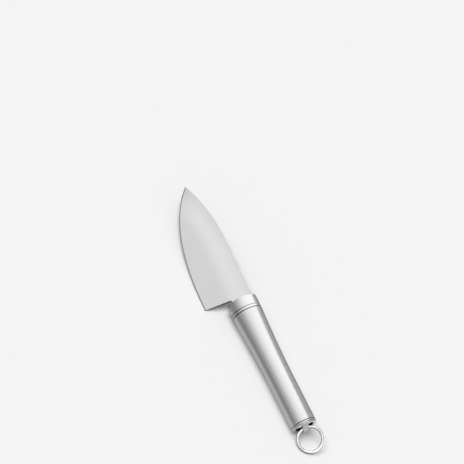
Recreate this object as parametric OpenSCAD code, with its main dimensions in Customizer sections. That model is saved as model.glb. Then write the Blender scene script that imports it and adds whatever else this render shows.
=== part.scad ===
// Vegetable knife: a broad blade in a round steel handle, with a hanging ring in its end cap.
// Knife axes: X runs along the handle towards the tip, from the middle of the bolster's face,
// Y runs across the blade towards the cutting edge, and Z is square to the blade.

/* [Blade] */
// Length of the blade from its heel to its tip
edge_len = 90; // [80:1:105]
// Distance from the bolster's face to the heel
neck_len = 4.5; // [4:0.1:7]
// Distance of the heel from the handle's axis
heel_drop = 25.2; // [20:0.1:30]
// Distance of the spine from the axis at the bolster
spine_rise = 8.7; // [7:0.1:9.5]
// Distance of the tip from the axis, on the side of the spine
tip_rise = 1.1; // [0:0.1:4]
// Angle between the cutting edge and the axis at the tip
edge_tip_angle = 46; // [36:1:54]
// How far the cutting edge keeps its direction from the heel
edge_heel_pull = 39; // [28:1:45]
// How far the cutting edge keeps its direction from the tip
edge_tip_pull = 25.5; // [18:0.5:30]
// Angle between the spine and the axis at the tip
spine_tip_angle = 23; // [14:1:28]
// How far the spine keeps its direction from the bolster
spine_neck_pull = 41; // [30:1:50]
// How far the spine keeps its direction from the tip
spine_tip_pull = 33; // [22:1:38]
// How far the choil leans back from the heel to the neck
choil_lean = 0.8; // [0:0.1:1.5]
// Radius in the corner between the choil and the neck
choil_r = 1.2; // [0.5:0.1:1.8]
// Thickness of the blank
blank_t = 2; // [1.6:0.1:2.6]
// Thickness left behind the cutting edge at the heel
heel_t = 0.5; // [0.3:0.05:0.8]
// Thickness left at the tip
tip_t = 0.8; // [0.5:0.05:1.2]
// Distance from the bolster's face to the start of the ground flanks
plunge_at = 2.5; // [1:0.1:3.5]

/* [Tang] */
// Distance of the neck's lower side from the axis
neck_drop = 6; // [5:0.1:7]
// Depth of the neck in the bolster
neck_seat = 3; // [2:0.1:5]
// Width of the tang
tang_w = 9; // [7:0.1:10]
// Length of the tang behind the bolster's face
tang_len = 52; // [40:1:60]
// Diameter of the cross pin
pin_d = 3; // [2:0.1:4]

/* [Handle] */
// Length of the handle from the bolster's face to the end of the tube
handle_len = 96; // [88:1:115]
// Diameter of the bolster and of the tube's front end
front_d = 21.4; // [20:0.1:24]
// Diameter of the tube's straight rear stretch
rear_d = 17.7; // [16.6:0.1:19]
// Distance from the bolster's face to the end of the flare
flare_end = 64; // [50:1:72]
// Wall of the tube
tube_wall = 1.2; // [0.8:0.1:1.6]
// Length of the bolster's collar
collar_len = 9.4; // [8.6:0.1:12]
// Distance from the bolster's face to the middle of its turned groove
groove_at = 7.5; // [4:0.1:8]
// Width of the turned groove and of the open gap at each end of the tube
groove_w = 0.7; // [0.4:0.05:1]
// Depth of the turned groove and of the open gaps
groove_d = 0.6; // [0.3:0.05:0.8]
// Radius of the bolster's front rim
rim_r = 0.6; // [0.2:0.1:1.2]
// Length of the bolster's spigot in the tube
spigot_len = 8; // [6:0.5:12]
// Length of the core behind the end of the tang
core_tail = 4; // [2:0.5:8]

/* [End cap] */
// Length of the cap's rim
cap_rim_len = 0.9; // [0.6:0.1:1.4]
// Width and depth of the fine line behind the rim
cap_line = 0.25; // [0.1:0.05:0.4]
// Length of the step between the fine line and the rear face
cap_step_len = 0.35; // [0.2:0.05:0.8]
// Length of the cap's spigot in the tube
cap_spigot_len = 10; // [6:0.5:14]
// Width of the bridge that carries the ring
bridge_w = 4; // [3:0.1:5]
// Height of the bridge above the rear face
bridge_h = 2.8; // [2.6:0.1:3.6]
// Distance of each pocket's outer wall from the axis
pocket_r = 6.4; // [5.8:0.1:7]
// Height of the pockets
pocket_h = 5.6; // [5:0.1:7]
// Depth of the pockets
pocket_depth = 3; // [2:0.1:5]

/* [Ring] */
// Diameter of the ring at the middle of its wire
ring_d = 17.1; // [15:0.1:20]
// Diameter of the wire
wire_d = 2; // [1.6:0.1:2.2]
// Distance of the ring's pivot behind the cap's rear face
pivot_back = 0.5; // [0.3:0.1:0.7]

/* [Fits] */
// Gap on each side of a piece that is fixed in another
seat_gap = 0.05; // [0.02:0.01:0.1]
// Play round the wire in its bore
ring_play = 0.1; // [0.05:0.01:0.2]

/* [Hidden] */

curve_steps = 28;
flare_steps = 24;
turned_fn = 96;
wire_fn = 48;
over = 1;

front_r = front_d / 2;
rear_r = rear_d / 2;
pin_r = pin_d / 2;
wire_r = wire_d / 2;
ring_r = ring_d / 2;

tip = [neck_len + edge_len, -tip_rise];
heel = [neck_len, heel_drop];

// Radius of the arc that flares the tube, and the tube's outer radius at a distance behind the face
tube_front = collar_len + groove_w;
flare_len = flare_end - tube_front;
flare_gain = front_r - rear_r;
flare_arc_r = (pow(flare_len, 2) + pow(flare_gain, 2)) / (2 * flare_gain);
function tube_r(back) =
    back > flare_end ? rear_r
    : rear_r + flare_arc_r - sqrt(pow(flare_arc_r, 2) - pow(flare_end - back, 2));

spigot_end = tube_front + spigot_len;
seat_r = tube_r(spigot_end) - tube_wall;
bore_r = rear_r - tube_wall;
pin_back = tube_front + spigot_len / 2;
core_end = tang_len + core_tail;

cap_face = groove_w + cap_rim_len + cap_line + cap_step_len;
face_back = handle_len + cap_face;
pivot_at = face_back + pivot_back;
face_r = rear_r - cap_line;
dome_r = (pow(face_r, 2) + pow(bridge_h, 2)) / (2 * bridge_h);

// The wire curves inside the bridge, so its bore is wider than the wire by the sag of that curve
wire_sag = ring_r - sqrt(pow(ring_r, 2) - pow(bridge_w / 2, 2));
ring_bore_r = wire_r + wire_sag + ring_play;

// The knife lies on the collar's rear edge and on the cap's rim, which tips its nose up a little
cap_rim_end = handle_len + groove_w + cap_rim_len;
nose_up = atan((front_r - rear_r) / (cap_rim_end - collar_len));
axis_lift = front_r * cos(nose_up) + collar_len * sin(nose_up);

// It is rolled over until its heel touches the same surface
heel_lift = (axis_lift + heel.x * sin(nose_up)) / cos(nose_up);
roll = asin(heel_lift / norm([heel_drop, heel_t / 2])) - atan(heel_t / 2 / heel_drop);

// The ring lies with its lowest point on that surface: its pivot slopes down towards the edge, and
// the ring's middle lies below the pivot by a share of the ring's radius
pivot_lift = axis_lift - pivot_at * sin(nose_up);
pivot_slope = sin(roll) * cos(nose_up);
ring_room = (pivot_lift - wire_r) / ring_r;
ring_fall = (ring_room - pow(pivot_slope, 2) / ring_room) / 2;
upright = [cos(roll) * cos(nose_up), sin(nose_up)];
ring_dip = asin(ring_fall / norm(upright)) - atan(upright.y / upright.x);

ring_back = cos(ring_dip) * cos(nose_up) - sin(ring_dip) * cos(roll) * sin(nose_up);
ring_reach = ring_r * (ring_back + norm([ring_back, sin(roll) * sin(nose_up)])) + wire_r;
x_front = tip.x * cos(nose_up);
x_back = -pivot_at * cos(nose_up) - ring_reach;
y_edge = heel_drop * cos(roll) + heel_t / 2 * sin(roll);
middle = [(x_front + x_back) / 2, (y_edge - front_r) / 2];

// Slopes of each ground flank along and across the blade: the flank starts at the spine beside the
// bolster and leaves the stated thickness at the heel and at the tip
heel_loss = (blank_t - heel_t) / 2;
tip_loss = (blank_t - tip_t) / 2;
heel_run = [heel.x - plunge_at, heel.y + spine_rise];
tip_run = [tip.x - plunge_at, tip.y + spine_rise];
run_area = cross(heel_run, tip_run);
slope_along = (heel_loss * tip_run.y - tip_loss * heel_run.y) / run_area;
slope_across = (heel_run.x * tip_loss - tip_run.x * heel_loss) / run_area;
tilt_along = atan(slope_along);
tilt_across = atan(slope_across * cos(tilt_along));

// Point of a cubic curve with two end points and two control points
function curve_point(a, b, c, d, t) =
    a * pow(1 - t, 3) + 3 * b * t * pow(1 - t, 2) + 3 * c * pow(t, 2) * (1 - t) + d * pow(t, 3);

function curve(a, b, c, d) =
    [for (i = [0 : curve_steps]) curve_point(a, b, c, d, i / curve_steps)];

function arc(centre, r, from, to, steps) =
    [for (i = [0 : steps]) let (a = from + (to - from) * i / steps) centre + r * [cos(a), sin(a)]];

// Place a piece that is drawn in the knife's axes where the knife lies
module laid()
    translate([-middle.x, -middle.y, axis_lift])
        rotate([-roll, -nose_up, 0])
            children();

// Turned solid round the handle's axis, from points of radius and distance behind the bolster's face
module turned(points)
    rotate([0, -90, 0])
        rotate_extrude($fn = turned_fn)
            polygon(points);

// Round bar along the handle's axis between two distances behind the bolster's face
module bar(r, from, to)
    turned([[0, from], [r, from], [r, to], [0, to]]);

module blank_outline() {
    spine_start = [0, -spine_rise];
    spine = curve(
        spine_start,
        spine_start + [spine_neck_pull, 0],
        tip - spine_tip_pull * [cos(spine_tip_angle), sin(spine_tip_angle)],
        tip
    );
    edge = curve(
        tip,
        tip + edge_tip_pull * [-cos(edge_tip_angle), sin(edge_tip_angle)],
        heel + [edge_heel_pull, 0],
        heel
    );
    choil_x = heel.x - choil_lean;
    corner = arc([choil_x - choil_r, neck_drop + choil_r], choil_r, 0, -90, 6);
    tang = [
        [-neck_seat, neck_drop],
        [-neck_seat, tang_w / 2],
        [-tang_len, tang_w / 2],
        [-tang_len, -tang_w / 2],
        [-neck_seat, -tang_w / 2],
        [-neck_seat, -spine_rise]
    ];
    inner_edge = [for (i = [1 : curve_steps]) edge[i]];
    polygon(concat(spine, inner_edge, corner, tang));
}

// Slab that grinds the flank on one side
module grinding_slab() {
    reach = 2 * (edge_len + heel_drop);
    translate([plunge_at, -spine_rise, blank_t / 2])
        rotate([-tilt_across, tilt_along, 0])
            translate([0, -reach / 2, 0])
                cube([reach, reach, blank_t]);
}

module cross_pin_hole()
    translate([-pin_back, 0, 0])
        cylinder(r = pin_r + seat_gap, h = front_d, center = true, $fn = wire_fn);

module blade()
    color("gainsboro") laid() difference() {
        translate([0, 0, -blank_t / 2])
            linear_extrude(blank_t)
                blank_outline();
        grinding_slab();
        mirror([0, 0, 1])
            grinding_slab();
        cross_pin_hole();
    }

module bolster() {
    slot_t = blank_t + 2 * seat_gap;
    floor_r = front_r - groove_d;
    rim = arc([front_r - rim_r, rim_r], rim_r, -90, 0, 8);
    color("silver") laid() difference() {
        turned(concat([[0, 0]], rim, [
            [front_r, groove_at - groove_w / 2],
            [floor_r, groove_at - groove_w / 2],
            [floor_r, groove_at + groove_w / 2],
            [front_r, groove_at + groove_w / 2],
            [front_r, collar_len],
            [floor_r, collar_len],
            [floor_r, tube_front],
            [seat_r - seat_gap, tube_front],
            [seat_r - seat_gap, spigot_end],
            [0, spigot_end]
        ]));
        translate([-neck_seat, -spine_rise - seat_gap, -slot_t / 2])
            cube([neck_seat + over, spine_rise + neck_drop + 2 * seat_gap, slot_t]);
        translate([-spigot_end - over, -tang_w / 2 - seat_gap, -slot_t / 2])
            cube([spigot_end + 2 * over, tang_w + 2 * seat_gap, slot_t]);
        cross_pin_hole();
    }
}

module tang_pin() {
    pin_len = 2 * sqrt(pow(seat_r - seat_gap, 2) - pow(pin_r, 2));
    color("darkgray") laid()
        translate([-pin_back, 0, 0])
            cylinder(r = pin_r, h = pin_len, center = true, $fn = wire_fn);
}

module handle_core() {
    slot_t = blank_t + 2 * seat_gap;
    outer = [
        for (i = [0 : flare_steps])
            let (back = spigot_end + (core_end - spigot_end) * i / flare_steps)
                [tube_r(back) - tube_wall - seat_gap, back]
    ];
    color("dimgray") laid() difference() {
        turned(concat([[0, spigot_end]], outer, [[0, core_end]]));
        translate([-tang_len - seat_gap, -tang_w / 2 - seat_gap, -slot_t / 2])
            cube([tang_len, tang_w + 2 * seat_gap, slot_t]);
    }
}

module handle_tube() {
    flare = [
        for (i = [0 : flare_steps])
            let (back = tube_front + flare_len * i / flare_steps)
                [tube_r(back), back]
    ];
    inner_flare = [
        for (i = [0 : flare_steps])
            let (back = flare_end - (flare_end - spigot_end) * i / flare_steps)
                [tube_r(back) - tube_wall, back]
    ];
    color("silver") laid()
        turned(concat(
            flare,
            [[rear_r, handle_len], [bore_r, handle_len]],
            inner_flare,
            [[seat_r, tube_front]]
        ));
}

module cap_bridge()
    intersection() {
        translate([dome_r - bridge_h - face_back, 0, 0])
            sphere(r = dome_r, $fn = turned_fn);
        bar(face_r - cap_line, face_back - cap_step_len, face_back + bridge_h + over);
        translate([-face_back - bridge_h - over, -bridge_w / 2, -rear_r])
            cube([bridge_h + 2 * over, bridge_w, rear_d]);
    }

module cap_pocket()
    intersection() {
        bar(pocket_r, face_back - pocket_depth, face_back + over);
        translate([-face_back - over, bridge_w / 2, -pocket_h / 2])
            cube([pocket_depth + 2 * over, pocket_r, pocket_h]);
    }

module end_cap() {
    neck_end = handle_len + groove_w;
    line_end = cap_rim_end + cap_line;
    color("silver") laid() difference() {
        union() {
            turned([
                [0, handle_len - cap_spigot_len],
                [bore_r - seat_gap, handle_len - cap_spigot_len],
                [bore_r - seat_gap, handle_len],
                [rear_r - groove_d, handle_len],
                [rear_r - groove_d, neck_end],
                [rear_r, neck_end],
                [rear_r, cap_rim_end],
                [face_r - cap_line, cap_rim_end],
                [face_r - cap_line, line_end],
                [face_r, line_end],
                [face_r, face_back],
                [0, face_back]
            ]);
            cap_bridge();
        }
        cap_pocket();
        mirror([0, 1, 0])
            cap_pocket();
        translate([-pivot_at, 0, 0])
            rotate([90, 0, 0])
                cylinder(r = ring_bore_r, h = bridge_w + over, center = true, $fn = wire_fn);
    }
}

module hanging_ring()
    color("whitesmoke") laid()
        translate([-pivot_at, 0, 0])
            rotate([0, -ring_dip, 0])
                translate([-ring_r, 0, 0])
                    rotate_extrude($fn = turned_fn)
                        translate([ring_r, 0])
                            circle(r = wire_r, $fn = wire_fn);

blade();
bolster();
tang_pin();
handle_core();
handle_tube();
end_cap();
hanging_ring();
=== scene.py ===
import math

import bmesh
import bpy
from mathutils import Matrix, Vector


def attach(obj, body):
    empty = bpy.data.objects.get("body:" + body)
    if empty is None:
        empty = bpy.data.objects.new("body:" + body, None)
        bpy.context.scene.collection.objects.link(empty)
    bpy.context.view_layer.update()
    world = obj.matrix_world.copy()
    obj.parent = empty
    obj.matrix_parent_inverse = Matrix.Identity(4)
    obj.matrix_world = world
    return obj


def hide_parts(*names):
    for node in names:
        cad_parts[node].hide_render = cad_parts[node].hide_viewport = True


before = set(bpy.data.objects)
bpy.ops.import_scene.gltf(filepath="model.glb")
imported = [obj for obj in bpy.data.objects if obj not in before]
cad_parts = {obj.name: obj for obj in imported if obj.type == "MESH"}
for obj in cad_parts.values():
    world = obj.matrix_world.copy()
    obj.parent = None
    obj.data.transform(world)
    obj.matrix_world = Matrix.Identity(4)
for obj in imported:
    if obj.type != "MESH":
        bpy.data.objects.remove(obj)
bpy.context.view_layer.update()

mm = 0.001
scene = bpy.context.scene
print("frame loaded:", ", ".join(sorted(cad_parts)))

# The pieces are drawn in millimetres along the knife's own axes: X towards the tip from the middle of
# the bolster's face, Y towards the cutting edge, Z square to the blade. Then they are laid down.
lying = {
    "noseUp": 1.201606,
    "roll": 25.2901829,  # onto the heel
    "place": (10.465209, -6.095763, 10.894769),
}
knifeTurn = (math.radians(-lying["roll"]), math.radians(-lying["noseUp"]), 0)
knifePlace = Vector(lying["place"]) * mm
knifeTilt = Matrix.Rotation(knifeTurn[1], 4, "Y") @ Matrix.Rotation(knifeTurn[0], 4, "X")
laid = Matrix.Translation(knifePlace) @ knifeTilt @ Matrix.Scale(mm, 4)

weld = 0.0005  # points as close as this become one
slack = 0.05  # room round a place when faces are picked by it
hair = 0.01  # the same, where other faces are close


# A socket of a node tree that can be used in sums
class Wire:
    def __init__(self, tree, socket=None):
        self.tree = tree
        self.socket = socket

    # any node: its settings first, then the values or links of its sockets
    def node(self, kind, settings=None, values=None, out=0):
        made = self.tree.nodes.new(kind)
        for name, value in (settings or {}).items():
            if name == "stops":
                stops = made.color_ramp.elements
                while len(stops) < len(value):
                    stops.new(0.5)
                for stop, (place, colour) in zip(stops, value):
                    stop.position = place
                    stop.color = colour
            else:
                setattr(made, name, value)
        for name, value in (values or {}).items():
            if isinstance(value, Wire):
                self.tree.links.new(value.socket, made.inputs[name])
            else:
                made.inputs[name].default_value = value
        return Wire(self.tree, made.outputs[out] if len(made.outputs) else None)

    def other(self, name):
        return Wire(self.tree, self.socket.node.outputs[name])

    def maths(self, operation, *others):
        values = {0: self}
        for i, value in enumerate(others):
            values[i + 1] = value
        return self.node("ShaderNodeMath", {"operation": operation}, values)

    def swapped(self, operation, first):
        return self.node("ShaderNodeMath", {"operation": operation}, {0: first, 1: self})

    def within(self, low, high):
        return self.maths("MAXIMUM", low).maths("MINIMUM", high)

    def ramp(self, start, end):
        return ((self - start) / (end - start)).within(0, 1)

    # from one colour to another by this value
    def mixed(self, first, last):
        return self.node("ShaderNodeMix", {"data_type": "RGBA"}, {0: self, 6: first, 7: last}, out=2)

    def __add__(self, value):
        return self.maths("ADD", value)

    def __radd__(self, value):
        return self.swapped("ADD", value)

    def __sub__(self, value):
        return self.maths("SUBTRACT", value)

    def __rsub__(self, value):
        return self.swapped("SUBTRACT", value)

    def __mul__(self, value):
        return self.maths("MULTIPLY", value)

    def __rmul__(self, value):
        return self.swapped("MULTIPLY", value)

    def __truediv__(self, value):
        return self.maths("DIVIDE", value)

    def __rtruediv__(self, value):
        return self.swapped("DIVIDE", value)


def newMaterial(name):
    material = bpy.data.materials.new(name)
    material.use_nodes = True
    material.node_tree.nodes.clear()
    return material, Wire(material.node_tree)


def opaque(colour):
    return (*colour, 1)


def greyOf(level):
    return opaque((level, level, level))


# Steel with fine tool lines, faint smudges, and painted shade and painted reflection where faces are
# marked dark
steelGrain = {
    "middle": 0.5,  # of the noises
    "lineDetail": 3,
    "lineBreaks": 0.6,
    "smudgeDetail": 4,
    "paintedDarkRough": 0.3,
    "paintedDarkDull": 0.5,  # what painted shade and reflection take away from the metal
}


def steel(name, look):
    g = steelGrain
    material, wire = newMaterial(name)
    place = wire.node("ShaderNodeTexCoord", out="Object")
    knife = wire.node(
        "ShaderNodeMapping",
        {"vector_type": "TEXTURE"},
        {"Vector": place, "Location": knifePlace, "Rotation": knifeTurn},
    )
    along = wire.node("ShaderNodeVectorMath", {"operation": "MULTIPLY"}, {0: knife, 1: look["lines"]})
    lines = wire.node(
        "ShaderNodeTexNoise",
        {},
        {"Vector": along, "Scale": 1, "Detail": g["lineDetail"], "Roughness": g["lineBreaks"]},
    )
    smudges = wire.node(
        "ShaderNodeTexNoise",
        {},
        {"Vector": knife, "Scale": look["smudgeScale"], "Detail": g["smudgeDetail"]},
    )
    recess = wire.node("ShaderNodeAttribute", {"attribute_name": "recess"}, out="Fac")

    line = lines - g["middle"]
    smudge = smudges - g["middle"]
    tone = line * look["lineTone"] + smudge * look["smudgeTone"] + g["middle"]
    if "band" in look:  # a painted sheen along the flank: a lighter band and a darker point
        band = wire.node("ShaderNodeAttribute", {"attribute_name": "band"}, out="Fac")
        tone = tone + band * look["band"]
    clean = tone.mixed(opaque(look["darkColour"]), opaque(look["colour"]))
    # Faces marked dark get painted shade and painted reflection: darker, rougher, less metal
    colour = recess.mixed(clean, opaque(look["paintedDarkColour"]))
    rough = look["roughness"] + line * look["lineRough"] + smudge * look["smudgeRough"]
    rough = rough + recess * g["paintedDarkRough"]
    metal = 1 - recess * g["paintedDarkDull"]
    depth = look["lineDepth"] * mm
    bump = wire.node("ShaderNodeBump", {}, {"Strength": 1.0, "Distance": depth, "Height": lines})
    shader = wire.node(
        "ShaderNodeBsdfPrincipled",
        {},
        {"Base Color": colour, "Metallic": metal, "Roughness": rough, "Normal": bump},
    )
    wire.node("ShaderNodeOutputMaterial", {}, {"Surface": shader})
    return material


# Tree that turns a profile round the X axis, and flares it towards its front end
def turningTree():
    tree = bpy.data.node_groups.new("turning", "GeometryNodeTree")
    inputs = {
        "Profile": "Geometry",
        "Segments": "Int",
        "Flare From": "Float",
        "Flare To": "Float",
        "Flare Gain": "Float",
        "Material": "Material",
    }
    for name, kind in inputs.items():
        tree.interface.new_socket(name, in_out="INPUT", socket_type="NodeSocket" + kind)
    tree.interface.new_socket("Geometry", in_out="OUTPUT", socket_type="NodeSocketGeometry")
    wire = Wire(tree)
    given = {name: wire.node("NodeGroupInput", out=name) for name in inputs}
    profile = given["Profile"]

    rows = wire.node("GeometryNodeAttributeDomainSize", {"component": "MESH"}, {"Geometry": profile})
    columns = given["Segments"] + 1
    grid = wire.node(
        "GeometryNodeMeshGrid", {}, {"Size X": 1, "Size Y": 1, "Vertices X": rows, "Vertices Y": columns}
    )
    index = wire.node("GeometryNodeInputIndex")
    row = ((index + 0.5) / columns).maths("FLOOR")
    angle = (index - row * columns) / given["Segments"] * math.tau
    point = wire.node(
        "GeometryNodeSampleIndex",
        {"data_type": "FLOAT_VECTOR", "domain": "POINT"},
        {"Geometry": profile, "Value": wire.node("GeometryNodeInputPosition"), "Index": row},
    )
    parts = wire.node("ShaderNodeSeparateXYZ", {}, {"Vector": point})
    run = given["Flare To"] - given["Flare From"]
    gain = given["Flare Gain"]
    arc = (run * run + gain * gain) / (gain * 2)
    before = (given["Flare To"] + parts).maths("MAXIMUM", 0)
    radius = parts.other("Y") + (arc - (arc * arc - before * before).maths("SQRT"))
    spot = wire.node(
        "ShaderNodeCombineXYZ",
        {},
        {"X": parts, "Y": radius * angle.maths("COSINE"), "Z": radius * angle.maths("SINE")},
    )
    shape = wire.node("GeometryNodeSetPosition", {}, {"Geometry": grid, "Position": spot})
    closed = wire.node("GeometryNodeMergeByDistance", {}, {"Geometry": shape, "Distance": weld})
    real = wire.node("GeometryNodeRealizeInstances", {}, {"Geometry": closed})
    dressed = wire.node("GeometryNodeSetMaterial", {}, {"Geometry": real, "Material": given["Material"]})
    wire.node("NodeGroupOutput", {}, {"Geometry": dressed})
    return tree


turning = turningTree()
turningInput = {}
for item in turning.interface.items_tree:
    if item.in_out == "INPUT":
        turningInput[item.name] = item.identifier


# Round the corners of a profile of [radius, back, corner radius], with a close point on each side
softCorner = {
    "steps": 5,
    "closeBy": 0.4,  # how far off the close points are, and the room they need, in lengths of the corner
    "room": 1.8,
}


def softened(points, closed=False):
    s = softCorner
    result = []
    count = len(points)
    for i, point in enumerate(points):
        here = Vector(point[:2])
        corner = point[2] if len(point) > 2 else 0
        if corner == 0 or (not closed and i in (0, count - 1)):
            result.append(here)
            continue
        before = Vector(points[i - 1][:2]) - here
        after = Vector(points[(i + 1) % count][:2]) - here
        back, ahead = before.normalized(), after.normalized()
        half = before.angle(after) / 2
        reach = corner / math.tan(half)
        centre = here + (back + ahead).normalized() * (corner / math.sin(half))
        start = here + back * reach
        end = here + ahead * reach
        if before.length > reach * s["room"]:
            result.append(start + back * reach * s["closeBy"])
        for k in range(s["steps"] + 1):
            arm = (start - centre).lerp(end - centre, k / s["steps"]).normalized() * corner
            result.append(centre + arm)
        if after.length > reach * s["room"]:
            result.append(end + ahead * reach * s["closeBy"])
    return result + result[:1] if closed else result


def evaluated(piece):
    made = bpy.data.meshes.new_from_object(piece.evaluated_get(bpy.context.evaluated_depsgraph_get()))
    piece.modifiers.clear()
    old = piece.data
    piece.data = made
    bpy.data.meshes.remove(old)


def newPiece(name, mesh, material=None):
    piece = bpy.data.objects.new(name, mesh)
    scene.collection.objects.link(piece)
    if material:
        mesh.materials.append(material)
    return piece


def turned(name, profile, material, segments=144, flare=(0, 0, 0)):
    mesh = bpy.data.meshes.new(name)
    lineEdges = [(i, i + 1) for i in range(len(profile) - 1)]
    mesh.from_pydata([(-point[1], point[0], 0) for point in profile], lineEdges, [])
    piece = newPiece(name, mesh)
    modifier = piece.modifiers.new("turning", "NODES")
    modifier.node_group = turning
    values = {"Segments": segments, "Flare From": flare[0], "Flare To": flare[1], "Flare Gain": flare[2]}
    for key, value in values.items():
        modifier[turningInput[key]] = value
    modifier[turningInput["Material"]] = material
    evaluated(piece)
    outward(piece.data)
    return piece


def outward(mesh, merge=0.0002):
    work = bmesh.new()
    work.from_mesh(mesh)
    bmesh.ops.remove_doubles(work, verts=work.verts, dist=merge)
    bmesh.ops.dissolve_degenerate(work, edges=work.edges, dist=merge)
    bmesh.ops.recalc_face_normals(work, faces=work.faces)
    work.to_mesh(mesh)
    work.free()


# Cutting tools: a block between two corners, and an outline pushed along a line
def block(low, high):
    work = bmesh.new()
    bmesh.ops.create_cube(work, size=1)
    size = Vector(high) - Vector(low)
    bmesh.ops.transform(
        work,
        matrix=Matrix.Translation((Vector(high) + Vector(low)) / 2) @ Matrix.Diagonal((*size, 1)),
        verts=work.verts,
    )
    return tool(work)


def prism(outline, along, low, high):
    work = bmesh.new()
    ring = [work.verts.new(along(a, b, low)) for a, b in outline]
    face = work.faces.new(ring)
    pushed = bmesh.ops.extrude_face_region(work, geom=[face])
    step = Vector(along(0, 0, high)) - Vector(along(0, 0, low))
    bmesh.ops.translate(work, vec=step, verts=onlyPoints(pushed["geom"]))
    bmesh.ops.recalc_face_normals(work, faces=work.faces)
    return tool(work)


def onlyPoints(geometry):
    return [item for item in geometry if isinstance(item, bmesh.types.BMVert)]


def tool(work):
    mesh = bpy.data.meshes.new("tool")
    work.to_mesh(mesh)
    work.free()
    return newPiece("tool", mesh)


def combine(piece, operation, tools):
    for one in tools:
        modifier = piece.modifiers.new(operation.lower(), "BOOLEAN")
        modifier.operation = operation
        modifier.solver = "EXACT"
        modifier.object = one
    evaluated(piece)
    for one in tools:
        bpy.data.objects.remove(one)


# Lay a drawn piece down, mark the faces where shade and reflection are painted dark, and hand it to its
# body
def lay(piece, node, body, paintedDarkAt=None, sharp=28, place=laid):
    mesh = piece.data
    material = next(m for m in mesh.materials if m)
    mesh.materials.clear()
    mesh.materials.append(material)
    mesh.polygons.foreach_set("material_index", [0] * len(mesh.polygons))
    if "recess" not in mesh.attributes:
        mark = mesh.attributes.new("recess", "FLOAT", "FACE")
        for i, face in enumerate(mesh.polygons):
            mark.data[i].value = paintedDarkAt(face.center) if paintedDarkAt else 0
    mesh.transform(place)
    mesh.polygons.foreach_set("use_smooth", [True] * len(mesh.polygons))
    mesh.set_sharp_from_angle(angle=math.radians(sharp))
    mesh.update()
    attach(piece, body)
    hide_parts(node)
    print(node, "done:", len(mesh.polygons), "faces")


handleLook = {
    "colour": (0.71, 0.71, 0.71),
    "darkColour": (0.65, 0.65, 0.655),
    "paintedDarkColour": (0.03, 0.03, 0.032),
    "roughness": 0.26,
    "lines": (5200, 60, 60),  # turned round the handle
    "lineTone": 0.5,
    "lineRough": 0.06,
    "lineDepth": 0.0005,
    "smudgeScale": 60,
    "smudgeTone": 0.35,
    "smudgeRough": 0.06,
}
handleSteel = steel("handle_steel", handleLook)


def radiusAt(co):
    return math.hypot(co.y, co.z)


def clamped(value):
    return min(max(value, 0), 1)


def ramped(value, start, end):
    return clamped((value - start) / (end - start))


def between(first, last, share):
    return first + (last - first) * share


# Bolster: turned collar with a groove, slotted for the neck and the tang
bolsterSizes = {
    "radius": 10.695,
    "rim": 0.6,
    "collar": 9.4,
    "collarEdge": 0.12,
    "grooveAt": 7.5,
    "grooveWide": 0.56,
    "grooveDeep": 0.3,
    "grooveCorners": (0.05, 0.04),  # at its lips, at its floor
    "grooveDark": (0, 1),  # painted shade in the groove: towards the spine, towards the edge
    "gap": (0.7, 0.6, 0.1),  # width, depth and corner of the gap in front of the tube
    # painted shade in the gap, likewise
    "gapDark": (0.3, 1),
    "darkFrom": (-0.5, 0.5),  # where that painted shade starts and is full, in radii
    "darkBelow": (0.03, 0.1),  # how deep the painted shade starts in the groove and in the gap
    "spigotRadius": 8.82,
    "spigotEnd": 18.1,
    "spigotEdge": 0.3,
    "neck": (-8.75, 6.05, 3.0),  # low side, high side, depth of the neck's slot
    "tang": 4.55,
    "slot": 1.05,
    "overrun": 1,  # of the cutting tools
}


def bolster():
    s = bolsterSizes
    radius, slot, past = s["radius"], s["slot"], s["overrun"]
    low = s["grooveAt"] - s["grooveWide"] / 2
    high = s["grooveAt"] + s["grooveWide"] / 2
    lip, bottom = s["grooveCorners"]
    gapWide, gapDeep, gapCorner = s["gap"]
    floor = radius - gapDeep
    gapEnd = s["collar"] + gapWide
    profile = [
        (0, 0),
        (radius, 0, s["rim"]),
        (radius, low, lip),
        (radius - s["grooveDeep"], s["grooveAt"], bottom),
        (radius, high, lip),
        (radius, s["collar"], s["collarEdge"]),
        (floor, s["collar"], gapCorner),
        (floor, gapEnd),
        (s["spigotRadius"], gapEnd),
        (s["spigotRadius"], s["spigotEnd"], s["spigotEdge"]),
        (0, s["spigotEnd"]),
    ]
    piece = turned("bolster_piece", softened(profile), handleSteel)
    neckLow, neckHigh, depth = s["neck"]
    tools = [
        block((-depth, neckLow, -slot), (past, neckHigh, slot)),
        block((-s["spigotEnd"] - past, -s["tang"], -slot), (past, s["tang"], slot)),
    ]
    combine(piece, "DIFFERENCE", tools)
    inGroove, inGap = s["darkBelow"]

    # Painted shade in the groove and the gap, lighter towards the spine where light falls in
    def paintedDarkAt(co):
        if -co.x > s["collar"] - slack:
            dark = s["gapDark"]
            inside = radiusAt(co) < radius - inGap
        else:
            dark = s["grooveDark"]
            inside = low < -co.x < high and radiusAt(co) < radius - inGroove
        return between(*dark, ramped(co.y / radius, *s["darkFrom"])) if inside else 0

    lay(piece, "bolster", "knife", paintedDarkAt)


bolster()

# Handle tube: flared at the front, straight at the rear
tubeSizes = {
    "front": 10.0,
    "rear": 96.0,
    "radius": 8.85,
    "wall": 1.2,
    "flareEnd": 64.0,
    "flareGain": 1.85,
    "edge": 0.14,
    "edgeRoom": 0.6,  # from each end to the rows between
    "steps": 64,
    "innerEvery": 4,  # the inside has only each fourth row
}


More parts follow.
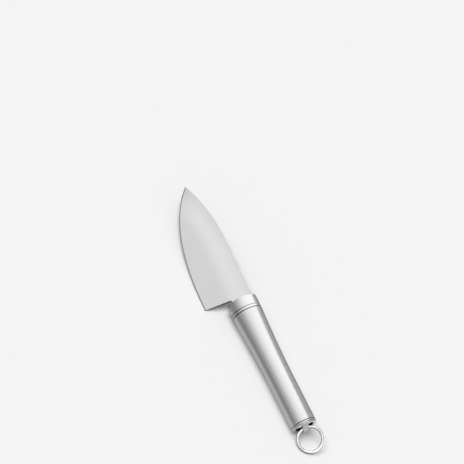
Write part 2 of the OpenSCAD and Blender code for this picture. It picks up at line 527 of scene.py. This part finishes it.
def handleTube():
    s = tubeSizes
    radius, edge = s["radius"], s["edge"]
    inside = radius - s["wall"]
    first = s["front"] + s["edgeRoom"]
    run = s["rear"] - s["front"] - 2 * s["edgeRoom"]
    rows = [first + run * i / s["steps"] for i in range(s["steps"] + 1)]
    profile = [(radius, s["front"], edge)]
    profile += [(radius, row) for row in rows]
    profile += [(radius, s["rear"], edge), (inside, s["rear"], edge)]
    profile += [(inside, row) for row in rows[:: -s["innerEvery"]]]
    profile += [(inside, s["front"], edge)]
    flare = (s["front"], s["flareEnd"], s["flareGain"])
    piece = turned("handle_tube_piece", softened(profile, closed=True), handleSteel, flare=flare)
    lay(piece, "handle_tube", "knife")


handleTube()

# End cap: rim, fine line, rear face with two pockets, and the bridge that carries the ring
capSizes = {
    "spigotFrom": 86.0,
    "spigotRadius": 7.6,
    "spigotEdge": 0.3,
    "tubeEnd": 96.0,
    "neckRadius": 8.25,
    "neckCorner": 0.08,
    "rim": (96.55, 97.5, 8.85),  # from, to, radius
    "rimEdges": (0.12, 0.22),  # front, rear
    "line": (97.8, 8.25),  # to, radius
    "lineCorner": 0.04,
    "face": (98.2, 8.6),  # place, radius
    "faceEdges": (0.06, 0.25),  # front, rear
    "gapLip": 0.15,  # how deep the painted shade in the gap starts
    "gapDark": (0.9, 1),  # painted shade in the gap: on top, at the sides
    # painted shade in the fine line: on top, at the sides
    "lineDark": (0.8, 1),
    "bridgeHalf": 2.0,
    "bridgeHigh": 2.8,
    "bridgeInset": 0.3,  # how far inside the face's edge it ends
    "bridgeRoot": 0.5,
    "bridgeEdge": 0.45,
    "bridgeLow": (0.7, 0.02),  # where it is low, its edge is this share of the height, and a little
    "bridgeSteps": (60, 5),  # along it, round its edge
    "bridgeRow": 0.4,  # rows of points on its top, in halves of its width
    "bridgeDark": (0.1, 0.34),  # painted shade on the bridge: in the middle, and at its ends
    "bridgeShadeRamp": (5, 6.6),  # from where to where that painted shade changes
    "pocket": (2.02, 6.4, 2.8, 3.0),  # inner side, outer radius, half height, depth
    "pocketSteps": 16,
    "bore": (98.7, 1.34),  # place, radius
    "boreHalf": 2.4,
    "boreSteps": 40,
    "overrun": 1,
}


def capBridge():
    s = capSizes
    face, faceRadius = s["face"]
    half, high = s["bridgeHalf"], s["bridgeHigh"]
    dome = (faceRadius**2 + high**2) / (2 * high)
    reach = faceRadius - s["bridgeInset"]
    lowShare, lowLeast = s["bridgeLow"]
    steps, edgeSteps = s["bridgeSteps"]
    row = half * s["bridgeRow"]
    work = bmesh.new()
    rings = []
    for i in range(steps + 1):
        z = -reach + 2 * reach * i / steps

        def top(y):
            return math.sqrt(dome**2 - y * y - z * z) - (dome - high)

        edge = min(s["bridgeEdge"], lowShare * top(half) + lowLeast)
        wall = top(half) - edge
        side = [(half, -s["bridgeRoot"]), (half, wall / 2), (half, wall)]
        for k in range(1, edgeSteps + 1):
            a = math.radians(90 * k / edgeSteps)
            y = half - edge + edge * math.cos(a)
            side.append((y, top(y) - edge + edge * math.sin(a)))
        section = side + [(y, top(y)) for y in (row, 0, -row)]
        section += [(-y, h) for y, h in side[::-1]]
        rings.append([work.verts.new((-face - h, y, z)) for y, h in section])
    for near, far in zip(rings, rings[1:]):
        for j in range(len(near)):
            k = (j + 1) % len(near)
            work.faces.new((near[j], near[k], far[k], far[j]))
    work.faces.new(rings[0])
    work.faces.new(rings[-1])
    bmesh.ops.recalc_face_normals(work, faces=work.faces)
    return tool(work)


# The two pockets beside the bridge, and the bore through it
def capTools():
    s = capSizes
    face = s["face"][0]
    inner, outer, high, depth = s["pocket"]
    corner = math.asin(high / outer)
    outline = [(inner, -high), (inner, high)]
    for k in range(s["pocketSteps"] + 1):
        a = corner * (1 - 2 * k / s["pocketSteps"])
        outline.append((outer * math.cos(a), outer * math.sin(a)))
    back, boreRadius = s["bore"]
    circle = []
    for k in range(s["boreSteps"]):
        a = math.tau * k / s["boreSteps"]
        circle.append((boreRadius * math.cos(a), boreRadius * math.sin(a)))

    def onSide(side):
        return lambda a, b, at: (-at, side * a, b)

    tools = [prism(outline, onSide(side), face - depth, face + s["overrun"]) for side in (1, -1)]
    tools.append(prism(circle, lambda a, b, y: (-back + a, y, b), -s["boreHalf"], s["boreHalf"]))
    return tools


def endCap():
    s = capSizes
    rimFrom, rimTo, rimRadius = s["rim"]
    lineTo, lineRadius = s["line"]
    face, faceRadius = s["face"]
    rimFront, rimRear = s["rimEdges"]
    faceFront, faceRear = s["faceEdges"]
    profile = [
        (0, s["spigotFrom"]),
        (s["spigotRadius"], s["spigotFrom"], s["spigotEdge"]),
        (s["spigotRadius"], s["tubeEnd"]),
        (s["neckRadius"], s["tubeEnd"]),
        (s["neckRadius"], rimFrom, s["neckCorner"]),
        (rimRadius, rimFrom, rimFront),
        (rimRadius, rimTo, rimRear),
        (lineRadius, rimTo, s["lineCorner"]),
        (lineRadius, lineTo, s["lineCorner"]),
        (faceRadius, lineTo, faceFront),
        (faceRadius, face, faceRear),
        (0, face),
    ]
    piece = turned("end_cap_piece", softened(profile), handleSteel)
    combine(piece, "UNION", [capBridge()])
    combine(piece, "DIFFERENCE", capTools())
    outward(piece.data)
    half = s["bridgeHalf"]
    outer = s["pocket"][1]
    back, boreRadius = s["bore"]

    # Painted shade in the bore, the pockets, the bridge, the gap and the fine line
    def paintedDarkAt(co):
        at, away, aside = -co.x, radiusAt(co), abs(co.y)
        inBore = aside < half - slack and math.hypot(at - back, co.z) < boreRadius + slack
        amidst = away < outer + 2 * slack
        inPocket = amidst and at < face - slack and aside > half + 2 * slack
        # painted shade in the bore and the pockets
        if inBore or inPocket:
            return 1
        if at > face + 2 * hair:  # the bridge, with painted shade
            return between(*s["bridgeDark"], ramped(abs(co.z), *s["bridgeShadeRamp"]))
        if amidst:
            return 0
        if at < rimFrom + hair:  # the open gap behind the tube, with painted shade lighter on top
            dark = s["gapDark"]
            inside = away < rimRadius - s["gapLip"]
        else:  # the fine line, with painted shade lighter on top
            dark = s["lineDark"]
            inside = rimTo - hair < at < lineTo + hair and away < faceRadius - slack
        return between(*dark, aside / away) if inside else 0

    lay(piece, "end_cap", "knife", paintedDarkAt, sharp=32)


endCap()

# Hanging ring: polished wire
ringSizes = {
    "radius": 8.55,
    "wire": 1.0,
    "pivot": 98.7,
    "dip": 21.9908752,  # how far it hangs down, until it lies on the floor
    "segments": 160,
    "steps": 40,  # round the wire
    "flank": (0.75, 1.3),  # painted dark reflection on the wire's sides: how far up the wire it reaches, and how much
    "flankMore": (0.4, 0.8),  # more painted dark reflection, added where a side faces backwards and to the cutting edge
    "flankWay": (0.74, -0.67),  # which way that is, across and along the knife
    "flankMost": 0.85,
}
ringLook = {
    "colour": (0.98, 0.98, 0.98),
    "darkColour": (0.94, 0.94, 0.94),
    "paintedDarkColour": (0.03, 0.03, 0.03),
    "roughness": 0.05,
    "lines": (900, 900, 900),
    "lineTone": 0.6,
    "lineRough": 0.05,
    "lineDepth": 0.0004,
    "smudgeScale": 180,
    "smudgeTone": 0.4,
    "smudgeRough": 0.05,
}
ringSteel = steel("ring_steel", ringLook)


def hangingRing():
    s = ringSizes
    wire = []
    for k in range(s["steps"] + 1):
        a = math.tau * (k % s["steps"]) / s["steps"]
        wire.append((s["radius"] + s["wire"] * math.cos(a), s["wire"] * math.sin(a)))
    piece = turned("hanging_ring_piece", wire, ringSteel, segments=s["segments"])
    place = (
        laid
        @ Matrix.Translation((-s["pivot"], 0, 0))
        @ Matrix.Rotation(math.radians(-s["dip"]), 4, "Y")
        @ Matrix.Translation((-s["radius"], 0, 0))
        @ Matrix.Rotation(math.radians(90), 4, "Y")
    )
    way = Vector(s["flankWay"])

    # Painted dark reflection along the wire's sides
    def paintedDarkAt(co):
        away = radiusAt(co)
        facing = Vector((co.y, co.z)).dot(way) / away
        facing = max(facing if away > s["radius"] else -facing, 0)
        high, dark = (least + more * facing**2 for least, more in zip(s["flank"], s["flankMore"]))
        return min(max(1 - abs(co.x) / high, 0) * dark, s["flankMost"])

    lay(piece, "hanging_ring", "ring", paintedDarkAt, sharp=60, place=place)


hangingRing()

# Blade: one outline, two ground flanks, a fine bevel on the cutting edge
bladeSizes = {
    "heel": (4.5, 25.2),
    "tip": (94.5, -1.1),
    "spine": -8.7,
    "spinePulls": (41, 33, 23),  # at the neck, at the tip, angle at the tip
    "edgePulls": (25.5, 39, 46),  # at the tip, at the heel, angle at the tip
    "choilLean": 0.8,
    "choilRadius": 1.2,
    "choilSteps": 8,
    "neckLow": 6.0,
    "neckSeat": 3.0,
    "tang": (4.5, 52.0),
    "halfThick": 1.0,
    "slopes": (0.0047171, 0.0218456),  # how the flank falls towards the tip, and towards the edge
    "slopesFrom": 2.5,  # where along the blade it starts to fall
    "plunge": (0.6, 3.4),  # from where to where it leaves the full thickness
    "plungeRows": 8,
    "crown": 0.12,  # how far the flank stands out between spine and edge
    "crownWidth": 33.9,  # the width of the blade where it stands out as far as that
    "flankRows": (6, 94, 3),  # cuts across the flank: first, last, step
    "flankColumns": (-5, 17, 1.5),  # cuts along it, counted in steps
    "leastWidth": 0.01,
    "bandAt": 8.5,  # the painted sheen's distance from the spine
    "bandHalf": (8, 11.5, 11),  # its reach to the spine at the point and at the heel, and to the edge
    "bandWide": (29, 33.5),  # widths of the blade where those reaches hold
    "bandFull": (8, 23),  # widths where the band starts and is full
    "tipDark": (14, 4, 0.9),  # painted darker reflection towards the point: widths where it starts and is darkest, and how much
    "chamfer": 0.14,
    "bevel": 0.75,
    "straight": 0.02,  # two sides that turn less than this are one line
    # painted dark reflection on the cutting-edge bevel, and painted shade on the choil
    "bevelDark": 0.5,
    "choilDark": 1,
    "edgeHalf": 0.015,  # half the thickness of the very edge
    "spineSteps": 90,
    "edgeSteps": 110,
}
bladeLook = {
    "colour": (0.64, 0.64, 0.64),
    "darkColour": (0.465, 0.465, 0.465),
    "paintedDarkColour": (0.02, 0.02, 0.02),
    "roughness": 0.34,
    "lines": (4200, 130, 130),  # ground from the spine to the edge
    "lineTone": 0.4,
    "lineRough": 0.1,
    "lineDepth": 0.0012,
    "band": 0.41,  # strength of the painted sheen
    "smudgeScale": 38,
    "smudgeTone": 0.2,
    "smudgeRough": 0.06,
}
bladeSteel = steel("blade_steel", bladeLook)


def curve(a, b, c, d, steps):
    a, b, c, d = (Vector(p) for p in (a, b, c, d))
    points = []
    for i in range(steps + 1):
        t = i / steps
        u = 1 - t
        points.append(a * u**3 + b * (3 * t * u * u) + c * (3 * t * t * u) + d * t**3)
    return points


# Outline of the blank, whether the side after each point is the cutting edge, and the spine and the
# edge as lines from the handle to the tip
def bladeOutline():
    s = bladeSizes
    tip, heel = Vector(s["tip"]), Vector(s["heel"])
    neckPull, tipPull, tipAngle = s["spinePulls"]
    slant = Vector((math.cos(math.radians(tipAngle)), math.sin(math.radians(tipAngle))))
    spine = curve((0, s["spine"]), (neckPull, s["spine"]), tip - slant * tipPull, tip, s["spineSteps"])
    tipPull, heelPull, tipAngle = s["edgePulls"]
    slant = Vector((-math.cos(math.radians(tipAngle)), math.sin(math.radians(tipAngle))))
    edge = curve(tip, tip + slant * tipPull, heel + Vector((heelPull, 0)), heel, s["edgeSteps"])
    choilX = heel.x - s["choilLean"]
    r = s["choilRadius"]
    corner = []
    for k in range(s["choilSteps"] + 1):
        a = math.radians(-90 * k / s["choilSteps"])
        corner.append(Vector((choilX - r + r * math.cos(a), s["neckLow"] + r + r * math.sin(a))))
    half, length = s["tang"]
    seat = s["neckSeat"]
    tang = [
        (-seat, s["neckLow"]),
        (-seat, half),
        (-length, half),
        (-length, -half),
        (-seat, -half),
        (-seat, s["spine"]),
    ]
    points = spine[:-1] + edge + corner + [Vector(p) for p in tang]
    before, after = len(spine) - 1, 1 + len(corner) + len(tang)
    cutting = [False] * before + [True] * (len(edge) - 1) + [False] * after
    return points, cutting, spine, edge[::-1]


# The outline with its cutting sides moved inwards by the bevel, and its other sides by the chamfer
def insetOutline(points, cutting):
    s = bladeSizes
    count = len(points)
    area = sum(points[i].cross(points[(i + 1) % count]) for i in range(count))
    inwards = 1 if area > 0 else -1
    insets = []
    for i, point in enumerate(points):
        following = points[(i + 1) % count]
        sides = []
        for a, b, cut in ((points[i - 1], point, cutting[i - 1]), (point, following, cutting[i])):
            run = (b - a).normalized()
            sides.append((Vector((-run.y, run.x)) * inwards, s["bevel"] if cut else s["chamfer"]))
        (normalA, depthA), (normalB, depthB) = sides
        turnBetween = normalA.cross(normalB)
        if abs(turnBetween) < s["straight"]:
            insets.append(point + (normalA + normalB).normalized() * (depthA + depthB) / 2)
        else:  # where the two shifted sides meet
            x = (depthA * normalB.y - depthB * normalA.y) / turnBetween
            y = (depthB * normalA.x - depthA * normalB.x) / turnBetween
            insets.append(point + Vector((x, y)))
    return insets


def heightAt(line, x):
    for a, b in zip(line, line[1:]):
        if x <= b.x:
            return a.y + (b.y - a.y) * max((x - a.x) / (b.x - a.x), 0)
    return line[-1].y


# Share of the way from the spine to the cutting edge, and the width there
def acrossBlade(x, y, spine, edge):
    top = heightAt(spine, x)
    width = max(heightAt(edge, x) - top, bladeSizes["leastWidth"])
    return clamped((y - top) / width), width


# Painted sheen on the flank: a lighter band, and a darker point
def bandAt(x, y, spine, edge):
    s = bladeSizes
    share, width = acrossBlade(x, y, spine, edge)
    off = share * width - s["bandAt"]
    atTip, atHeel, toEdge = s["bandHalf"]
    half = toEdge if off > 0 else between(atTip, atHeel, ramped(width, *s["bandWide"]))
    start, end, most = s["tipDark"]
    pale = (1 - min(abs(off) / half, 1) ** 2) ** 2 * ramped(width, *s["bandFull"])
    return pale - most * ramped(width, start, end)


def flankHeight(x, y, spine, edge):
    s = bladeSizes
    toTip, toEdge = s["slopes"]
    plane = s["halfThick"] - toTip * (x - s["slopesFrom"]) - toEdge * (y - s["spine"])
    share, width = acrossBlade(x, y, spine, edge)
    plane += s["crown"] * (width / s["crownWidth"]) ** 2 * 4 * share * (1 - share)
    t = ramped(x, *s["plunge"])
    t = t * t * (3 - 2 * t)
    return s["halfThick"] * (1 - t) + min(plane, s["halfThick"]) * t


# Cuts in the flank, which is marked by its material index: where it leaves the full thickness, and
# where it carries its crown
def cutFlank(work):
    s = bladeSizes
    low, high = s["plunge"]
    for k in range(s["plungeRows"] + 1):
        geometry = work.verts[:] + work.edges[:] + work.faces[:]
        spot = (low + (high - low) * k / s["plungeRows"], 0, 0)
        bmesh.ops.bisect_plane(work, geom=geometry, plane_co=spot, plane_no=(1, 0, 0), dist=weld)
    first, last, step = s["flankRows"]
    cuts = [((x, 0, 0), (1, 0, 0)) for x in range(first, last, step)]
    first, last, step = s["flankColumns"]
    cuts += [((0, y * step, 0), (0, 1, 0)) for y in range(first, last)]
    for spot, way in cuts:
        flank = [f for f in work.faces if f.material_index == 1]
        geometry = flank + list(dict.fromkeys(e for f in flank for e in f.edges))
        geometry += list(dict.fromkeys(v for f in flank for v in f.verts))
        bmesh.ops.bisect_plane(work, geom=geometry, plane_co=spot, plane_no=way, dist=weld)
    for face in work.faces:
        face.material_index = 0


def blade():
    s = bladeSizes
    points, cutting, spine, edge = bladeOutline()
    count = len(points)
    work = bmesh.new()
    dark = work.faces.layers.float.new("recess")
    outer = [work.verts.new((p.x, p.y, 0)) for p in points]
    inner = [work.verts.new((p.x, p.y, 1)) for p in insetOutline(points, cutting)]
    onEdge = {outer[i] for i in range(count) if cutting[i] or cutting[i - 1]}

    # Painted shade on the choil's faces
    def choilShade(*spots):
        onChoil = all(p.x < s["heel"][0] + hair and p.y > s["neckLow"] - hair for p in spots)
        return s["choilDark"] if onChoil else 0

    for i in range(count):
        k = (i + 1) % count
        shade = s["bevelDark"] if cutting[i] else choilShade(points[i], points[k])
        work.faces.new((outer[i], outer[k], inner[k], inner[i]))[dark] = shade
    work.faces.new(inner).material_index = 1
    cutFlank(work)
    for vertex in work.verts:
        x, y, z = vertex.co
        if vertex in onEdge:
            vertex.co.z = s["edgeHalf"]
        else:
            vertex.co.z = flankHeight(x, y, spine, edge) - s["chamfer"] * (1 - z)
    rim = [e for e in work.edges if e.is_boundary]
    copied = bmesh.ops.duplicate(work, geom=work.verts[:] + work.edges[:] + work.faces[:])
    for vertex in onlyPoints(copied["geom"]):
        vertex.co.z = -vertex.co.z
    twin = copied["vert_map"]
    for side in rim:
        a, b = side.verts
        work.faces.new((a, b, twin[b], twin[a]))[dark] = choilShade(a.co, b.co)
    bmesh.ops.recalc_face_normals(work, faces=work.faces)
    mesh = bpy.data.meshes.new("blade_piece")
    work.to_mesh(mesh)
    work.free()
    piece = newPiece("blade_piece", mesh, bladeSteel)
    mark = mesh.attributes.new("band", "FLOAT", "POINT")
    for i, vertex in enumerate(mesh.vertices):
        mark.data[i].value = bandAt(vertex.co.x, vertex.co.y, spine, edge)
    lay(piece, "blade", "knife", sharp=9)


blade()

# The two inner pieces keep their solids and get their own finishes
pinLook = dict(handleLook, colour=(0.5, 0.5, 0.5), darkColour=(0.42, 0.42, 0.42), roughness=0.4)
coreLook = {
    "colour": (0.03, 0.03, 0.033),
    "paleColour": (0.05, 0.05, 0.054),
    "roughness": 0.6,
    "grain": 900,
    "grainDetail": 3,
    "grainMiddle": 0.5,
    "grainRough": 0.2,
    "grainDepth": 0.05,
    "grainBump": 0.4,
}


def corePlastic(look):
    material, wire = newMaterial("core_plastic")
    place = wire.node("ShaderNodeTexCoord", out="Object")
    grain = wire.node(
        "ShaderNodeTexNoise", {}, {"Vector": place, "Scale": look["grain"], "Detail": look["grainDetail"]}
    )
    colour = grain.mixed(opaque(look["colour"]), opaque(look["paleColour"]))
    rough = look["roughness"] + (grain - look["grainMiddle"]) * look["grainRough"]
    depth = look["grainDepth"] * mm
    bump = wire.node(
        "ShaderNodeBump", {}, {"Strength": look["grainBump"], "Distance": depth, "Height": grain}
    )
    shader = wire.node(
        "ShaderNodeBsdfPrincipled", {}, {"Base Color": colour, "Roughness": rough, "Normal": bump}
    )
    wire.node("ShaderNodeOutputMaterial", {}, {"Surface": shader})
    return material


for node, material in (("tang_pin", steel("pin_steel", pinLook)), ("handle_core", corePlastic(coreLook))):
    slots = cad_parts[node].data.materials
    slots.clear()
    slots.append(material)
print("inner pieces dressed")

# Floor of pale paper, in metres like the studio. What the steel mirrors of it is painted darker, with a
# painted shadow beside the heel
floorLook = {
    "colour": (0.9, 0.9, 0.9),
    "mirrored": (0.3, 0.3, 0.3),  # painted darker reflection: what the steel shows of it farther off
    "least": 0.5,  # how much of that is in it close by
    "near": (0.0061, 0.013, 0.028),  # the handle's place, and from where to where that painted reflection gets darker
    "shade": (0.003, 0.010, 0.88),  # painted shadow beside the heel, seen only in the steel: from where to where along, and how dark
    "beside": (0.0115, 0.015),  # from where to where, off the handle's place
    "behind": (-0.094, -0.084),  # behind the knife it is plain paper
    "size": 8.0,
    "cells": 8,
}


def floorPiece(look):
    work = bmesh.new()
    cells = look["cells"]
    bmesh.ops.create_grid(work, x_segments=cells, y_segments=cells, size=look["size"] / 2)
    mesh = bpy.data.meshes.new("floor")
    work.to_mesh(mesh)
    work.free()
    material, wire = newMaterial("floor_paper")
    paper = wire.node("ShaderNodeBsdfDiffuse", {}, {"Color": opaque(look["colour"])})
    mirrored = wire.node("ShaderNodeBsdfDiffuse", {}, {"Color": opaque(look["mirrored"])})
    place = wire.node("ShaderNodeTexCoord", out="Object")
    along = wire.node("ShaderNodeSeparateXYZ", {}, {"Vector": place})
    axis, start, end = look["near"]
    off = (along.other("Y") + axis).maths("ABSOLUTE")
    far = off.ramp(start, end).maths("MAXIMUM", look["least"])
    start, end, most = look["shade"]
    shade = along.ramp(start, end) * off.ramp(*look["beside"]) * most
    far = far.maths("MAXIMUM", shade) * along.ramp(*look["behind"])
    glossy = wire.node("ShaderNodeLightPath", out="Is Glossy Ray")
    shader = wire.node("ShaderNodeMixShader", {}, {0: glossy * far, 1: paper, 2: mirrored})
    wire.node("ShaderNodeOutputMaterial", {}, {"Surface": shader})
    newPiece("floor", mesh, material)


floorPiece(floorLook)

# A tent of light round the knife's length, which the steel mirrors: brightness by the angle from
# straight up, to the right of the blade. Two soft lamps and an even glow light everything else.
studio = {
    "tent": [
        (-90, 0.405),
        (-69, 0.5),
        (-60, 0.62),
        (-51, 0.79),
        (-25, 1.05),
        (-5, 1.175),
        (19, 1.275),
        (90, 1.275),
    ],
    "fromTip": (0.45, -0.05, 0.4),  # how much stronger it gets towards the tip, and between which slopes
    "scale": 1.5,  # the brightest level that the ramp can hold
    "glow": 0.38,
    "backdrop": 0.905,  # what the camera sees of it all
    "key": {"share": 0.6, "from": (0.23, 0.34, 0.9), "spread": 46},
    "fill": {"share": 0.03, "from": (-0.358, 0.551, 0.754), "spread": 20},
    "card": {"side": -150, "slope": -1.918, "height": 187.1, "back": -400, "grey": 0.5},  # millimetres
}


def studioLight(look):
    world = bpy.data.worlds.new("studio")
    scene.world = world
    world.use_nodes = True
    world.node_tree.nodes.clear()
    wire = Wire(world.node_tree)
    way = wire.node("ShaderNodeTexCoord", out="Generated")
    parts = wire.node("ShaderNodeSeparateXYZ", {}, {"Vector": way})
    angle = (parts.other("Y") * -1).maths("ARCTAN2", parts.other("Z"))
    stops = []
    for degrees, level in look["tent"]:
        stops.append((degrees / 180 + 0.5, greyOf(level / look["scale"])))
    levels = wire.node("ShaderNodeValToRGB", {"stops": stops}, {"Fac": angle / math.pi + 0.5})
    gain, least, most = look["fromTip"]
    strength = (parts.within(least, most) * gain + 1) * look["scale"]
    white = greyOf(1)
    tent = wire.node("ShaderNodeBackground", {}, {"Color": levels, "Strength": strength})
    even = wire.node("ShaderNodeBackground", {}, {"Color": white, "Strength": look["glow"]})
    pale = wire.node("ShaderNodeBackground", {}, {"Color": white, "Strength": look["backdrop"]})
    ray = wire.node("ShaderNodeLightPath", out="Is Glossy Ray")
    light = wire.node("ShaderNodeMixShader", {}, {0: ray, 1: even, 2: tent})
    seen = wire.node("ShaderNodeMixShader", {}, {0: ray.other("Is Camera Ray"), 1: light, 2: pale})
    wire.node("ShaderNodeOutputWorld", {}, {"Surface": seen})


def softLamp(name, look):
    way = Vector(look["from"]).normalized()
    data = bpy.data.lights.new(name, "SUN")
    data.energy = look["share"] * math.pi / way.z
    data.angle = math.radians(look["spread"])
    lamp = bpy.data.objects.new(name, data)
    lamp.rotation_euler = way.to_track_quat("Z", "Y").to_euler()
    lamp.visible_glossy = False
    scene.collection.objects.link(lamp)


# A grey card to the right of the knife, which ends the bright band on the handle
def greyCard(look):
    tip = -look["height"] / look["slope"]
    top = look["slope"] * look["back"] + look["height"]
    corners = [(tip, 0), (look["back"], top), (look["back"], 0)]
    mesh = bpy.data.meshes.new("card")
    mesh.from_pydata([Vector((x, look["side"], z)) * mm for x, z in corners], [], [(0, 1, 2)])
    material, wire = newMaterial("card_grey")
    glow = wire.node("ShaderNodeEmission", {}, {"Color": greyOf(look["grey"]), "Strength": 1})
    wire.node("ShaderNodeOutputMaterial", {}, {"Surface": glow})
    card = newPiece("card", mesh, material)
    card.visible_camera = False
    card.visible_diffuse = False
    card.visible_shadow = False


studioLight(studio)
softLamp("key", studio["key"])
softLamp("fill", studio["fill"])
greyCard(studio["card"])
scene.view_settings.view_transform = "Standard"
print("studio lit")

# Camera: eye and aim in millimetres along the knife's own axes
view = {
    "eye": (-440.4, 214.0, 1260.8),
    "aim": (49.72, -16.21, 0),
    "lens": 153.88,
    "sensor": 36,
    "clip": (0.01, 50),
}


def photoCamera(look):
    data = bpy.data.cameras.new("camera")
    data.lens = look["lens"]
    data.sensor_width = look["sensor"]
    data.clip_start, data.clip_end = look["clip"]
    camera = bpy.data.objects.new("camera", data)
    scene.collection.objects.link(camera)
    eye, aim = (laid @ Vector(look[k]) for k in ("eye", "aim"))
    forward = (aim - eye).normalized()
    right = forward.cross(knifeTilt @ Vector((0, 0, 1))).normalized()
    up = right.cross(forward)
    camera.matrix_world = Matrix.Translation(eye) @ Matrix((right, up, -forward)).transposed().to_4x4()
    scene.camera = camera


photoCamera(view)
